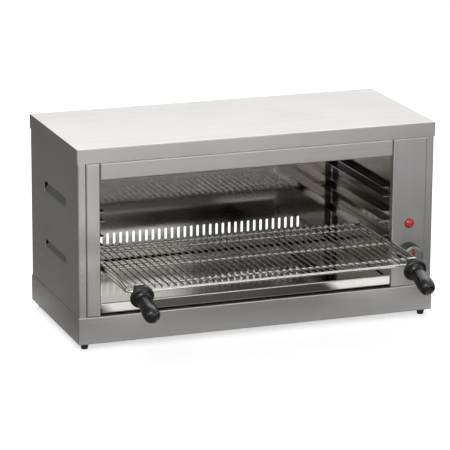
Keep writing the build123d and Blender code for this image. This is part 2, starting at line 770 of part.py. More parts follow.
def cable_gland():
    """Gland in the back panel, empty: the cord is not part of the object."""
    axis = Plane(origin=(GLAND_X, BACK_WALL_Y, GLAND_Z), x_dir=(1, 0, 0), z_dir=(0, 1, 0))
    reach = INSET + GLAND_REACH
    body = hexagon(axis, 20, 0, 5) + rod(axis, GLAND_THREAD_R, -9, 0)
    dome = rod(axis, 9.0, 5, reach)
    dome = fillet(dome.edges().sort_by(Axis.Y)[-1], 2.5)
    return body + dome - rod(axis, GLAND_BORE_R, -12, reach + 1)


def gland_nut():
    """Lock nut of the gland, inside the back panel."""
    axis = Plane(origin=(GLAND_X, BACK_INNER_Y, GLAND_Z), x_dir=(1, 0, 0), z_dir=(0, -1, 0))
    return hexagon(axis, 21, 0, 5) - rod(axis, GLAND_THREAD_R + 0.05, -1, 6)


# ---------------------------------------------------------------------- feet
def foot_points():
    """Centres of the four feet."""
    return [(x, y) for x in (-FOOT_X, FOOT_X) for y in (FRONT_Y + FOOT_INSET_Y, BACK_Y - FOOT_INSET_Y)]


def foot(x, y):
    """Tapered rubber foot."""
    cone = Pos(0, 0, FOOT_HEIGHT / 2) * Cone(FOOT_BOTTOM_R, FOOT_TOP_R, FOOT_HEIGHT)
    bore = Pos(0, 0, FOOT_HEIGHT) * Cylinder(FOOT_SCREW_R + 0.05, 14)
    return Pos(x, y, 0) * (cone - bore)


def foot_screws():
    """Four screws that hold the feet from inside the base pan."""
    screws = []
    for x, y in foot_points():
        shank = Pos(0, 0, 7.5) * Cylinder(FOOT_SCREW_R, 8)
        head = Pos(0, 0, PAN_FLOOR_Z + 1.1) * Cylinder(4.0, 2.2)
        screws.append(Pos(x, y, 0) * (shank + head))
    return Compound(screws)


# ------------------------------------------------------------------ assembly
def all_parts():
    """Every node of the object, by name."""
    parts = {
        "base_pan": base_pan(),
        "top_cover": top_cover(),
        "left_side_panel": left_side_panel(),
        "right_side_panel": right_side_panel(),
        "back_panel": back_panel(),
        "back_panel_screws": back_panel_screws(),
        "left_stile": left_stile(),
        "top_rail": top_rail(),
        "control_panel": control_panel(),
        "cavity_left_wall": cavity_left_wall(),
        "cavity_right_wall": cavity_right_wall(),
        "cavity_floor": cavity_floor(),
        "ceiling_reflector": ceiling_reflector(),
        "crumb_tray": crumb_tray(),
        "wire_grid": wire_grid(),
        "heat_switch": heat_switch(),
        "heat_switch_screws": heat_switch_screws(),
        "switch_shaft": switch_shaft(),
        "control_knob": control_knob(),
        "knob_face_disc": knob_face_disc(),
        "knob_pointer": knob_pointer(),
        "pilot_lamp_housing": lamp_housing(),
        "pilot_lamp_lens": lamp_lens(),
        "pilot_lamp_nut": lamp_nut(),
        "terminal_block": terminal_block(),
        "cable_gland": cable_gland(),
        "cable_gland_nut": gland_nut(),
        "foot_screws": foot_screws(),
    }
    for name, legs in TUBE_LEGS.items():
        parts[f"heating_tube_{name}"] = heating_tube(legs)
        parts[f"tube_flange_{name}"] = tube_flange(legs)
        parts[f"tube_hanger_{name}"] = tube_hanger(legs)
    for side in ("left", "right"):
        parts[f"handle_{side}"] = handle(side)
        parts[f"handle_bracket_{side}"] = handle_bracket(side)
        parts[f"handle_nut_{side}"] = handle_nut(side)
        for level, level_name in enumerate(RUNNER_LEVELS):
            parts[f"runner_{side}_{level_name}"] = runner(side, level)
    foot_names = ("front_left", "rear_left", "front_right", "rear_right")
    for name, (x, y) in zip(foot_names, foot_points()):
        parts[f"foot_{name}"] = foot(x, y)
    return parts


def main():
    """Build every node and write its STEP file."""
    os.makedirs("parts", exist_ok=True)
    for name, shape in all_parts().items():
        export_step(shape, f"parts/{name}.step")


main()
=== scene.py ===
"""Countertop cheese melter: finishes, small made pieces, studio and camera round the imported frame."""

import logging
import math
from dataclasses import dataclass, field
from enum import Enum
from typing import Callable, Optional, Union

import bmesh
import bpy
from mathutils import Matrix, Vector


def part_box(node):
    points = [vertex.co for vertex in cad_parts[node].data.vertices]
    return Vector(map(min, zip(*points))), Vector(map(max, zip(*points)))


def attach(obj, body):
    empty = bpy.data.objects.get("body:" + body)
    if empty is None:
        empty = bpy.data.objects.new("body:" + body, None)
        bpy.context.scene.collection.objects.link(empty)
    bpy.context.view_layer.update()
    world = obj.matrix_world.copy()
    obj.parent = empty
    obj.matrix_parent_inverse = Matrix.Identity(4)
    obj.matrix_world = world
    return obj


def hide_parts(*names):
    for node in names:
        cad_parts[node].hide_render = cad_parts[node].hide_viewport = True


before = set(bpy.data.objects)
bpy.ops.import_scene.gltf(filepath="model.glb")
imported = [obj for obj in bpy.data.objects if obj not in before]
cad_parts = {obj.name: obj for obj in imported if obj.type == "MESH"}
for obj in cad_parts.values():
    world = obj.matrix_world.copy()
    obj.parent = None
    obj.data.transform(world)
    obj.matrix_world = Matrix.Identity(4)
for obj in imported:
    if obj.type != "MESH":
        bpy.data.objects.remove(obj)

LOG = logging.getLogger("cheese_melter")
IMAGE_WIDTH_PX = 450
SENSOR_WIDTH_MM = 36.0
# Share of a normal along an axis, past which a face counts as looking that way.
FACING = 0.5

Colour = tuple[float, float, float]
Point = tuple[float, float, float]
Band = tuple[float, float]


# ------------------------------------------------------------------ shader kit
class Signal:
    """A value socket on which Python's sums add Math nodes."""

    def __init__(self, shader: "Shader", socket: bpy.types.NodeSocket) -> None:
        """Wrap one output socket of a shader."""
        self.shader = shader
        self.socket = socket

    def _math(self, operation: str, *values: "Feed", clamp: bool = False) -> "Signal":
        """Add a Math node.

        Args:
            operation: Blender's name of the operation.
            values: Its inputs, in order.
            clamp: Whether the result is held between 0 and 1.

        Returns:
            The node's result.
        """
        settings = {"operation": operation, "use_clamp": clamp}
        node = self.shader.node("ShaderNodeMath", settings, dict(enumerate(values)))
        return Signal(self.shader, node.outputs[0])

    def __add__(self, other: "Feed") -> "Signal":
        """Sum."""
        return self._math("ADD", self, other)

    def __radd__(self, other: "Feed") -> "Signal":
        """Sum with the signal on the right."""
        return self._math("ADD", other, self)

    def __sub__(self, other: "Feed") -> "Signal":
        """Difference."""
        return self._math("SUBTRACT", self, other)

    def __rsub__(self, other: "Feed") -> "Signal":
        """Difference with the signal on the right."""
        return self._math("SUBTRACT", other, self)

    def __mul__(self, other: "Feed") -> "Signal":
        """Product."""
        return self._math("MULTIPLY", self, other)

    def __rmul__(self, other: "Feed") -> "Signal":
        """Product with the signal on the right."""
        return self._math("MULTIPLY", other, self)

    def __pow__(self, other: "Feed") -> "Signal":
        """Power."""
        return self._math("POWER", self, other)

    def __abs__(self) -> "Signal":
        """Size without its sign."""
        return self._math("ABSOLUTE", self)

    def above(self, limit: float) -> "Signal":
        """One where the signal is over a limit, and zero elsewhere."""
        return self._math("GREATER_THAN", self, limit)

    def wave(self) -> "Signal":
        """Sine of the signal, brought between 0 and 1."""
        return self._math("SINE", self) * 0.5 + 0.5

    def clamped(self) -> "Signal":
        """The signal held between 0 and 1."""
        return self._math("ADD", self, 0.0, clamp=True)

    def ramp(self, low: float, high: float) -> "Signal":
        """Stretch a part of the signal over 0 to 1.

        Args:
            low: Value that becomes 0.
            high: Value that becomes 1.

        Returns:
            The stretched signal, held between 0 and 1.
        """
        return ((self - low) * (1.0 / (high - low))).clamped()


Feed = Union[Signal, bpy.types.NodeSocket, float, int, tuple, Vector]


class Shader:
    """Node tree of one material or of the world."""

    def __init__(self, tree: bpy.types.NodeTree) -> None:
        """Start from an empty tree."""
        self.tree = tree
        self.tree.nodes.clear()
        self._position: Optional[bpy.types.NodeSocket] = None

    def node(
        self,
        kind: str,
        settings: Optional[dict] = None,
        inputs: Optional[dict] = None,
    ) -> bpy.types.Node:
        """Add one node.

        Args:
            kind: Blender's name of the node type.
            settings: Its properties, set first.
            inputs: Its sockets by name or number, each with a value or a link.

        Returns:
            The new node.
        """
        node = self.tree.nodes.new(kind)
        for key, value in (settings or {}).items():
            setattr(node, key, value)
        for key, value in (inputs or {}).items():
            self.feed(node.inputs[key], value)
        return node

    def feed(self, socket: bpy.types.NodeSocket, value: Feed) -> None:
        """Link a signal or an output to a socket, or write a plain value into it.

        Args:
            socket: Input that is fed.
            value: What feeds it.
        """
        if isinstance(value, Signal):
            value = value.socket
        if isinstance(value, bpy.types.NodeSocket):
            self.tree.links.new(value, socket)
        elif isinstance(value, (tuple, Vector)) and socket.type == "RGBA":
            socket.default_value = (*value, 1.0)
        else:
            socket.default_value = value

    @property
    def position(self) -> bpy.types.NodeSocket:
        """Object coordinates, in metres."""
        if self._position is None:
            self._position = self.node("ShaderNodeTexCoord").outputs["Object"]
        return self._position

    def _vector_math(self, operation: str, first: Feed, second: Feed) -> bpy.types.NodeSocket:
        """Add a Vector Math node."""
        settings = {"operation": operation}
        return self.node("ShaderNodeVectorMath", settings, {0: first, 1: second}).outputs[0]

    def placed(self, centre: Point, scale: Point) -> bpy.types.NodeSocket:
        """Move and stretch the object coordinates.

        Args:
            centre: Point that becomes the origin.
            scale: Factor along each axis.

        Returns:
            The changed coordinates.
        """
        moved = self._vector_math("SUBTRACT", self.position, centre)
        return self._vector_math("MULTIPLY", moved, scale)

    def axes(self, vector: bpy.types.NodeSocket) -> tuple[Signal, Signal, Signal]:
        """Split a vector into its three parts."""
        parts = self.node("ShaderNodeSeparateXYZ", None, {0: vector}).outputs
        return (Signal(self, parts[0]), Signal(self, parts[1]), Signal(self, parts[2]))

    def normals(self) -> tuple[Signal, Signal, Signal]:
        """Parts of the direction that the surface looks in."""
        return self.axes(self.node("ShaderNodeNewGeometry").outputs["Normal"])

    def noise(self, scale: Union[float, Point], detail: float = 2.0, roughness: float = 0.5) -> Signal:
        """Soft random pattern.

        Args:
            scale: Cells to a metre, the same on all axes or one for each.
            detail: Octaves of finer pattern.
            roughness: Strength of the finer octaves.

        Returns:
            A signal round 0.5.
        """
        stretch = scale if isinstance(scale, tuple) else (scale, scale, scale)
        vector = self.placed((0.0, 0.0, 0.0), stretch)
        inputs = {"Vector": vector, "Scale": 1.0, "Detail": detail, "Roughness": roughness}
        return Signal(self, self.node("ShaderNodeTexNoise", None, inputs).outputs[0])

    def cells(self, scale: float) -> Signal:
        """Distance to the nearest of many scattered points."""
        inputs = {"Vector": self.position, "Scale": scale}
        return Signal(self, self.node("ShaderNodeTexVoronoi", None, inputs).outputs["Distance"])

    def mixed(self, share: Feed, first: Feed, second: Feed) -> bpy.types.NodeSocket:
        """Blend two colours.

        Args:
            share: Part of the second colour.
            first: Colour at 0.
            second: Colour at 1.

        Returns:
            The blended colour.
        """
        settings = {"data_type": "RGBA", "clamp_factor": True}
        return self.node("ShaderNodeMix", settings, {0: share, 6: first, 7: second}).outputs[2]

    def bump(self, height: Signal, distance: float, strength: float = 1.0) -> bpy.types.NodeSocket:
        """Turn a height signal into a surface normal.

        Args:
            height: Signal from 0 to 1.
            distance: Depth in metres that 1 stands for.
            strength: Share of the effect.

        Returns:
            The bent normal.
        """
        inputs = {"Height": height, "Distance": distance, "Strength": strength}
        return self.node("ShaderNodeBump", None, inputs).outputs[0]

    def surface(self, **sockets: Feed) -> bpy.types.Node:
        """Add the main surface shader and link it to the output.

        Args:
            sockets: Its inputs, with underscores for the spaces in their names.

        Returns:
            The surface shader.
        """
        inputs = {name.replace("_", " "): value for name, value in sockets.items()}
        shader = self.node("ShaderNodeBsdfPrincipled", None, inputs)
        self.node("ShaderNodeOutputMaterial", None, {"Surface": shader.outputs[0]})
        return shader


def new_material(name: str) -> tuple[bpy.types.Material, Shader]:
    """Make an empty node material.

    Args:
        name: Its name.

    Returns:
        The material and its shader tree.
    """
    material = bpy.data.materials.new(name)
    material.use_nodes = True
    return material, Shader(material.node_tree)


# -------------------------------------------------------------------- finishes
class Grain(Enum):
    """Direction of the rolling grain in a sheet."""

    ALONG_X = "x"
    ALONG_Y = "y"
    ALONG_Z = "z"


@dataclass(frozen=True)
class Patches:
    """Soft random patches: noise of which one band is stretched over 0 to 1.

    It is given by its cells to a metre, its octaves, the band's two ends and the finer octaves' strength.
    """

    cells: float
    detail: float
    low: float
    high: float
    roughness: float = 0.5

    def lay(self, shader: Shader) -> Signal:
        """Add the patches to a shader."""
        return shader.noise(self.cells, self.detail, self.roughness).ramp(self.low, self.high)


@dataclass(frozen=True)
class Streaks:
    """Noise drawn out along a sheet's grain, in cells to a metre along the grain and across it."""

    long_cells: float
    fine_cells: float
    detail: float = 3.0
    sideways_from: float = 0.7

    def lay(self, shader: Shader, grain: Grain) -> Signal:
        """Add the streaks, which run along Y on faces of a lengthwise sheet that look along X.

        Args:
            shader: Tree that gets the nodes.
            grain: Direction of the sheet's grain.

        Returns:
            The streaks, round 0.5.
        """
        scales = {
            Grain.ALONG_X: (self.long_cells, self.fine_cells, self.fine_cells),
            Grain.ALONG_Y: (self.fine_cells, self.long_cells, self.fine_cells),
            Grain.ALONG_Z: (self.fine_cells, self.fine_cells, self.long_cells),
        }
        main = shader.noise(scales[grain], self.detail)
        if grain is not Grain.ALONG_X:
            return main
        other = shader.noise(scales[Grain.ALONG_Y], self.detail)
        sideways = abs(shader.normals()[0]).above(self.sideways_from)
        return main * (1.0 - sideways) + other * sideways


@dataclass(frozen=True)
class Finish:
    """A named material, of which each kind lays its own nodes."""

    name: str

    def build(self) -> bpy.types.Material:
        """Make the material.

        Returns:
            The material.
        """
        material, shader = new_material(self.name)
        self.lay(shader)
        return material

    def lay(self, shader: Shader) -> None:
        """Add the finish's nodes, here none."""


@dataclass(frozen=True)
class SheetSteel(Finish):
    """Stainless sheet with a fine rolled grain, faint clouding and hand marks."""

    colour: Colour
    cloud: Colour
    roughness: float
    grain: Grain = Grain.ALONG_X
    grain_depth: float = 0.00001
    hand_marks: float = 0.05
    heat: float = 0.0
    heat_colour: Colour = (0.30, 0.20, 0.11)
    fine_streaks: Streaks = Streaks(7.0, 2600.0)
    fine_rough: float = 0.10
    fine_depth: float = 0.75
    broad_streaks: Streaks = Streaks(3.0, 160.0)
    broad_rough: float = 0.06
    broad_band: Band = (0.3, 0.7)
    clouds: Patches = Patches(9.0, 4.0, 0.35, 0.68)
    cloud_share: float = 0.5
    marks: Patches = Patches(31.0, 5.0, 0.56, 0.74, 0.62)
    heat_patches: Patches = Patches(14.0, 3.0, 0.42, 0.70)
    scratches: Streaks = Streaks(11.0, 900.0)
    scratch_band: Band = (0.70, 0.78)
    scratch_share: float = 0.25
    scratch_gain: float = 1.10

    def lay(self, shader: Shader) -> None:
        """Add the finish's nodes.

        Args:
            shader: Tree that gets them.
        """
        fine = self.fine_streaks.lay(shader, self.grain)
        broad = self.broad_streaks.lay(shader, self.grain)
        clouds = self.clouds.lay(shader)
        marks = self.marks.lay(shader)
        scratches = self.scratches.lay(shader, self.grain).ramp(*self.scratch_band)
        stripes = broad.ramp(*self.broad_band)
        share = (clouds * self.cloud_share + stripes * (1.0 - self.cloud_share)).clamped()
        colour = shader.mixed(share, self.colour, self.cloud)
        if self.heat > 0.0:
            tint = self.heat_patches.lay(shader) * self.heat
            colour = shader.mixed(tint, colour, self.heat_colour)
        bright = tuple(min(1.0, part * self.scratch_gain) for part in self.colour)
        colour = shader.mixed(scratches * self.scratch_share, colour, bright)
        rough = self.roughness + (fine - 0.5) * self.fine_rough
        rough = rough + (broad - 0.5) * self.broad_rough + marks * self.hand_marks
        colour, rough = self.polish(shader, colour, rough)
        grain = fine * self.fine_depth + broad * (1.0 - self.fine_depth)
        shader.surface(
            Base_Color=colour,
            Metallic=1.0,
            Roughness=rough.clamped(),
            Normal=shader.bump(grain, self.grain_depth),
        )

    def polish(self, shader: Shader, colour: bpy.types.NodeSocket, rough: Signal) -> tuple[Feed, Signal]:
        """Change colour and roughness where one face is finished in another way.

        Args:
            shader: Tree that gets the nodes.
            colour: Colour of the brushed sheet.
            rough: Its roughness.

        Returns:
            Colour and roughness of the whole sheet, here unchanged.
        """
        return colour, rough


@dataclass(frozen=True)
class RearSheet(SheetSteel):
    """Sheet that is brushed on its outer face and polished on the face towards the cavity."""

    mirror: Colour = (0.36, 0.35, 0.335)
    mirror_roughness: float = 0.07
    haze: Patches = Patches(12.0, 3.0, 0.4, 0.8)
    haze_rough: float = 0.05
    # The corner fields place a painted shade: a dark band along the right edge of the polished rear face, in
    # the cavity's rear-right corner.
    corner: float = 0.227
    corner_width: float = 0.011
    corner_softness: float = 0.001
    painted_corner_shade: Colour = (0.05, 0.048, 0.045)

    def polish(self, shader: Shader, colour: bpy.types.NodeSocket, rough: Signal) -> tuple[Feed, Signal]:
        """Polish every face that doesn't look to the back, and paint shade as a dark band into the
        rear-right corner.

        Args:
            shader: Tree that gets the nodes.
            colour: Colour of the brushed sheet.
            rough: Its roughness.

        Returns:
            Colour and roughness of the whole sheet.
        """
        outside = shader.normals()[1].above(FACING)
        haze = self.haze.lay(shader)
        # Painted shade: a dark band that ends at the corner's x is mixed into the polished face.
        x = shader.axes(shader.position)[0]
        start = self.corner - self.corner_width
        begins = x.ramp(start - self.corner_softness, start + self.corner_softness)
        painted_shade_mask = begins * (1.0 - x.above(self.corner))
        polished = shader.mixed(painted_shade_mask, self.mirror, self.painted_corner_shade)
        both = shader.mixed(outside, polished, colour)
        polished_rough = self.mirror_roughness + haze * self.haze_rough
        return both, polished_rough * (1.0 - outside) + rough * outside


@dataclass(frozen=True)
class ChannelSheet(SheetSteel):
    """Sheet of the side channels, with painted shade as a dark band over their rear ends, by the rear wall.
    """

    # These fields paint shade: a dark band over the channels' rear ends, next to the rear wall.
    painted_shade_from: float = 0.197
    painted_shade_softness: float = 0.002
    painted_shade_share: float = 0.9
    painted_shade_colour: Colour = (0.05, 0.048, 0.045)

    def polish(self, shader: Shader, colour: bpy.types.NodeSocket, rough: Signal) -> tuple[Feed, Signal]:
        """Paint shade over the rear ends.

        Args:
            shader: Tree that gets the nodes.
            colour: Colour of the brushed sheet.
            rough: Its roughness.

        Returns:
            Colour and roughness of the whole sheet.
        """
        # Painted shade over the rear ends, past the given depth.
        y = shader.axes(shader.position)[1]
        painted_shade_mask = y.ramp(self.painted_shade_from - self.painted_shade_softness, self.painted_shade_from + self.painted_shade_softness)
        return shader.mixed(painted_shade_mask * self.painted_shade_share, colour, self.painted_shade_colour), rough


@dataclass(frozen=True)
class LouvredSheet(SheetSteel):
    """Sheet whose bent-in louvre flaps are painted darker, as shade in their recesses."""

    # These fields place a painted shade on the recessed louvre flaps behind the outer face.
    outside: float = 0.2985
    behind: Band = (0.0002, 0.0012)
    front: float = 0.026
    back: float = 0.150
    painted_shade_factor: float = 0.62

    def polish(self, shader: Shader, colour: bpy.types.NodeSocket, rough: Signal) -> tuple[Feed, Signal]:
        """Paint shade over what lies behind the outer face, between the louvres' ends.

        Args:
            shader: Tree that gets the nodes.
            colour: Colour of the brushed sheet.
            rough: Its roughness.

        Returns:
            Colour and roughness of the whole sheet.
        """
        x, y, _ = shader.axes(shader.position)
        behind = (self.outside - abs(x)).ramp(*self.behind)
        between = y.above(self.front) * (1.0 - y.above(self.back))
        # Painted shade: the flaps take a darker copy of the sheet's cloud colour.
        dulled = tuple(part * self.painted_shade_factor for part in self.cloud)
        return shader.mixed(behind * between, colour, dulled), rough


@dataclass(frozen=True)
class BrightWire(Finish):
    """Nickel-plated wire, a little dulled and browned by heat."""

    colour: Colour
    tint: Colour
    roughness: float
    tinted: Patches = Patches(24.0, 4.0, 0.42, 0.72)
    tint_share: float = 0.45
    dulled: Patches = Patches(70.0, 3.0, 0.5, 0.8)
    dull_rough: float = 0.18
    speckle_cells: float = 900.0
    speckle_rough: float = 0.08
    speckle_depth: float = 0.00003
    bump_strength: float = 0.6

    def lay(self, shader: Shader) -> None:
        """Add the finish's nodes.

        Args:
            shader: Tree that gets them.
        """
        tinted = self.tinted.lay(shader)
        speckle = shader.noise(self.speckle_cells)
        dulled = self.dulled.lay(shader)
        rough = self.roughness + dulled * self.dull_rough + (speckle - 0.5) * self.speckle_rough
        shader.surface(
            Base_Color=shader.mixed(tinted * self.tint_share, self.colour, self.tint),
            Metallic=1.0,
            Roughness=rough.clamped(),
            Normal=shader.bump(speckle, self.speckle_depth, self.bump_strength),
        )


@dataclass(frozen=True)
class Moulded(Finish):
    """Moulded plastic, phenolic or rubber with a fine skin and light rubbing."""

    colour: Colour
    rubbed: Colour
    roughness: float
    skin_cells: float = 1800.0
    skin_depth: float = 0.00002
    specular_level: float = 0.5
    skin_rough: float = 0.06
    bump_strength: float = 0.7
    rubbing: Patches = Patches(85.0, 4.0, 0.48, 0.80, 0.6)
    rubbing_share: float = 0.6
    rubbing_rough: float = 0.08
    mottle: Patches = Patches(260.0, 3.0, 0.35, 0.75)
    mottle_share: float = 0.25

    def lay(self, shader: Shader) -> None:
        """Add the finish's nodes.

        Args:
            shader: Tree that gets them.
        """
        skin = shader.noise(self.skin_cells)
        rubbing = self.rubbing.lay(shader)
        mottle = self.mottle.lay(shader)
        share = (rubbing * self.rubbing_share + mottle * self.mottle_share).clamped()
        rough = self.roughness + rubbing * self.rubbing_rough + (skin - 0.5) * self.skin_rough
        shader.surface(
            Base_Color=shader.mixed(share, self.colour, self.rubbed),
            Roughness=rough.clamped(),
            Specular_IOR_Level=self.specular_level,
            Normal=shader.bump(skin, self.skin_depth, self.bump_strength),
        )


@dataclass(frozen=True)
class TurnedDisc(Finish):
    """Metal disc with rings left by the lathe round a front-facing axis."""

    colour: Colour
    shade: Colour
    centre: Point
    roughness: float = 0.34
    rings: float = 5200.0
    ring_rough: float = 0.08
    ring_depth: float = 0.00001
    bump_strength: float = 0.8
    shading: Patches = Patches(190.0, 3.0, 0.3, 0.75)
    shading_rough: float = 0.06

    def lay(self, shader: Shader) -> None:
        """Add the finish's nodes.

        Args:
            shader: Tree that gets them.
        """
        x, _, z = shader.axes(shader.placed(self.centre, (1.0, 1.0, 1.0)))
        radius = (x * x + z * z) ** 0.5
        ring = (radius * self.rings).wave()
        shading = self.shading.lay(shader)
        rough = self.roughness + ring * self.ring_rough + shading * self.shading_rough
        shader.surface(
            Base_Color=shader.mixed(shading, self.colour, self.shade),
            Metallic=1.0,
            Roughness=rough.clamped(),
            Normal=shader.bump(ring, self.ring_depth, self.bump_strength),
        )


@dataclass(frozen=True)
class LampLens(Finish):
    """Red lens with fine moulded facets, lit faintly from within."""

    colour: Colour
    deep: Colour
    roughness: float = 0.10
    facet_cells: float = 900.0
    facet_share: float = 0.3
    facet_rough: float = 0.12
    facet_depth: float = 0.00012
    bump_strength: float = 0.35
    depths: Patches = Patches(320.0, 2.0, 0.3, 0.7)
    depth_share: float = 0.6
    clearness: float = 0.12
    refraction: float = 1.49
    glow_strength: float = 0.18
    coat: float = 0.6
    coat_roughness: float = 0.05

    def lay(self, shader: Shader) -> None:
        """Add the finish's nodes.

        Args:
            shader: Tree that gets them.
        """
        facets = shader.cells(self.facet_cells)
        depths = self.depths.lay(shader)
        share = depths * self.depth_share + facets * self.facet_share
        shader.surface(
            Base_Color=shader.mixed(share, self.colour, self.deep),
            Roughness=(self.roughness + facets * self.facet_rough).clamped(),
            Transmission_Weight=self.clearness,
            IOR=self.refraction,
            Emission_Color=shader.mixed(facets.clamped(), self.colour, self.deep),
            Emission_Strength=self.glow_strength,
            Coat_Weight=self.coat,
            Coat_Roughness=self.coat_roughness,
            Normal=shader.bump(facets, self.facet_depth, self.bump_strength),
        )


@dataclass(frozen=True)
class HeaterSheath(Finish):
    """Metal sheath of a heating tube, with brown and blue bands from the heat."""

    colour: Colour
    brown: Colour
    blue: Colour
    roughness: float = 0.42
    metallic: float = 0.85
    band_turns: float = 42.0
    band_wander: float = 9.0
    wander_cells: float = 16.0
    wander_detail: float = 3.0
    brown_band: Band = (0.25, 0.95)
    brown_share: float = 0.6
    blued: Patches = Patches(60.0, 4.0, 0.5, 0.75)
    blue_share: float = 0.45
    blue_rough: float = 0.12
    scale_cells: float = 1400.0
    scale_detail: float = 3.0
    scale_rough: float = 0.12
    scale_depth: float = 0.00004
    bump_strength: float = 0.6

    def lay(self, shader: Shader) -> None:
        """Add the finish's nodes.

        Args:
            shader: Tree that gets them.
        """
        x = shader.axes(shader.position)[0]
        wander = shader.noise(self.wander_cells, self.wander_detail)
        browned = (x * self.band_turns + wander * self.band_wander).wave().ramp(*self.brown_band)
        blued = self.blued.lay(shader)
        scale = shader.noise(self.scale_cells, self.scale_detail)
        colour = shader.mixed(browned * self.brown_share, self.colour, self.brown)
        colour = shader.mixed(blued * self.blue_share, colour, self.blue)
        rough = self.roughness + blued * self.blue_rough + (scale - 0.5) * self.scale_rough
        shader.surface(
            Base_Color=colour,
            Metallic=self.metallic,
            Roughness=rough.clamped(),
            Normal=shader.bump(scale, self.scale_depth, self.bump_strength),
        )


@dataclass(frozen=True)
class PlatedFastener(Finish):
    """Zinc-plated steel of nuts, screws and brackets."""

    colour: Colour
    cloudy: Colour
    roughness: float = 0.32
    bloom: Patches = Patches(150.0, 4.0, 0.35, 0.75)
    bloom_share: float = 0.7
    bloom_rough: float = 0.12
    tooling_cells: Point = (900.0, 900.0, 90.0)
    tooling_rough: float = 0.08
    tooling_depth: float = 0.00002
    bump_strength: float = 0.6

    def lay(self, shader: Shader) -> None:
        """Add the finish's nodes.

        Args:
            shader: Tree that gets them.
        """
        bloom = self.bloom.lay(shader)
        tooling = shader.noise(self.tooling_cells)
        rough = self.roughness + bloom * self.bloom_rough + (tooling - 0.5) * self.tooling_rough
        shader.surface(
            Base_Color=shader.mixed(bloom * self.bloom_share, self.colour, self.cloudy),
            Metallic=1.0,
            Roughness=rough.clamped(),
            Normal=shader.bump(tooling, self.tooling_depth, self.bump_strength),
        )


@dataclass
class FinishBook:
    """Which finish each CAD node wears."""

    control_centre: Point
    finishes: dict[str, bpy.types.Material] = field(default_factory=dict)

    def make(self) -> None:
        """Build every finish."""
        outer = {"colour": (0.60, 0.585, 0.57), "cloud": (0.52, 0.508, 0.495), "roughness": 0.33}
        inner = {"colour": (0.46, 0.445, 0.425), "cloud": (0.38, 0.365, 0.345), "roughness": 0.10}
        tray = {"colour": (0.52, 0.51, 0.50), "cloud": (0.44, 0.43, 0.42), "roughness": 0.08}
        channel = {"colour": (0.64, 0.63, 0.61), "cloud": (0.52, 0.51, 0.49), "roughness": 0.13}
        reflector = {"colour": (0.42, 0.40, 0.38), "cloud": (0.32, 0.30, 0.28), "roughness": 0.12}
        bracket = {"colour": (0.50, 0.49, 0.475), "cloud": (0.40, 0.39, 0.38), "roughness": 0.30}
        bright = {"grain_depth": 0.000003, "hand_marks": 0.03}
        satin = {"grain_depth": 0.000004, "hand_marks": 0.03}
        book = (
            SheetSteel("outer_steel", **outer),
            SheetSteel("outer_steel_upright", **outer, grain=Grain.ALONG_Z),
            LouvredSheet("outer_steel_side", **outer, grain=Grain.ALONG_Y),
            RearSheet("rear_steel", **outer, grain_depth=0.000004),
            SheetSteel("cavity_steel", **inner, **bright, heat=0.25),
            SheetSteel("tray_steel", **tray, **bright, heat=0.15),
            ChannelSheet("runner_steel", **channel, **satin, grain=Grain.ALONG_Y, heat=0.2),
            SheetSteel("reflector_steel", **reflector, **bright, heat=0.4),
            SheetSteel("bracket_steel", **bracket, grain=Grain.ALONG_Z),
            BrightWire("grid_wire", (0.66, 0.655, 0.645), (0.44, 0.40, 0.35), 0.20),
            Moulded("handle_phenolic", (0.010, 0.010, 0.010), (0.022, 0.021, 0.020), 0.20),
            Moulded("knob_plastic", (0.010, 0.011, 0.009), (0.022, 0.024, 0.020), 0.36, specular_level=0.25),
            TurnedDisc("knob_disc", (0.30, 0.32, 0.28), (0.21, 0.23, 0.195), self.control_centre),
            Moulded("pointer_red", (0.42, 0.010, 0.030), (0.30, 0.012, 0.03), 0.35),
            LampLens("lamp_red", (0.66, 0.030, 0.008), (0.34, 0.008, 0.003)),
            Moulded("lamp_body", (0.36, 0.028, 0.016), (0.26, 0.024, 0.016), 0.22),
            Moulded("switch_body", (0.035, 0.034, 0.033), (0.070, 0.068, 0.066), 0.45),
            Moulded("terminal_white", (0.70, 0.68, 0.63), (0.58, 0.56, 0.50), 0.42),
            Moulded("gland_plastic", (0.020, 0.020, 0.021), (0.045, 0.045, 0.046), 0.40),
            Moulded("foot_rubber", (0.014, 0.014, 0.014), (0.040, 0.039, 0.038), 0.62, 900.0, 0.00006),
            HeaterSheath("heater_sheath", (0.14, 0.135, 0.13), (0.12, 0.075, 0.045), (0.06, 0.075, 0.11)),
            PlatedFastener("plated_steel", (0.62, 0.62, 0.62), (0.46, 0.46, 0.45)),
        )
        for finish in book:
            self.finishes[finish.name] = finish.build()
            LOG.info("finish %s", finish.name)

    def dress(self, groups: dict[str, tuple[str, ...]]) -> None:
        """Give CAD nodes their finishes.

        Args:
            groups: Names of the nodes under the name of their finish.
        """
        for finish, names in groups.items():
            for name in names:
                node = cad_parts[name]
                node.data.materials.clear()
                node.data.materials.append(self.finishes[finish])
                LOG.info("node %s wears %s", name, finish)


# ------------------------------------------------------------------- workbench
FaceTest = Callable[[Vector, Vector], bool]
EdgeTest = Callable[[Vector, Vector], bool]


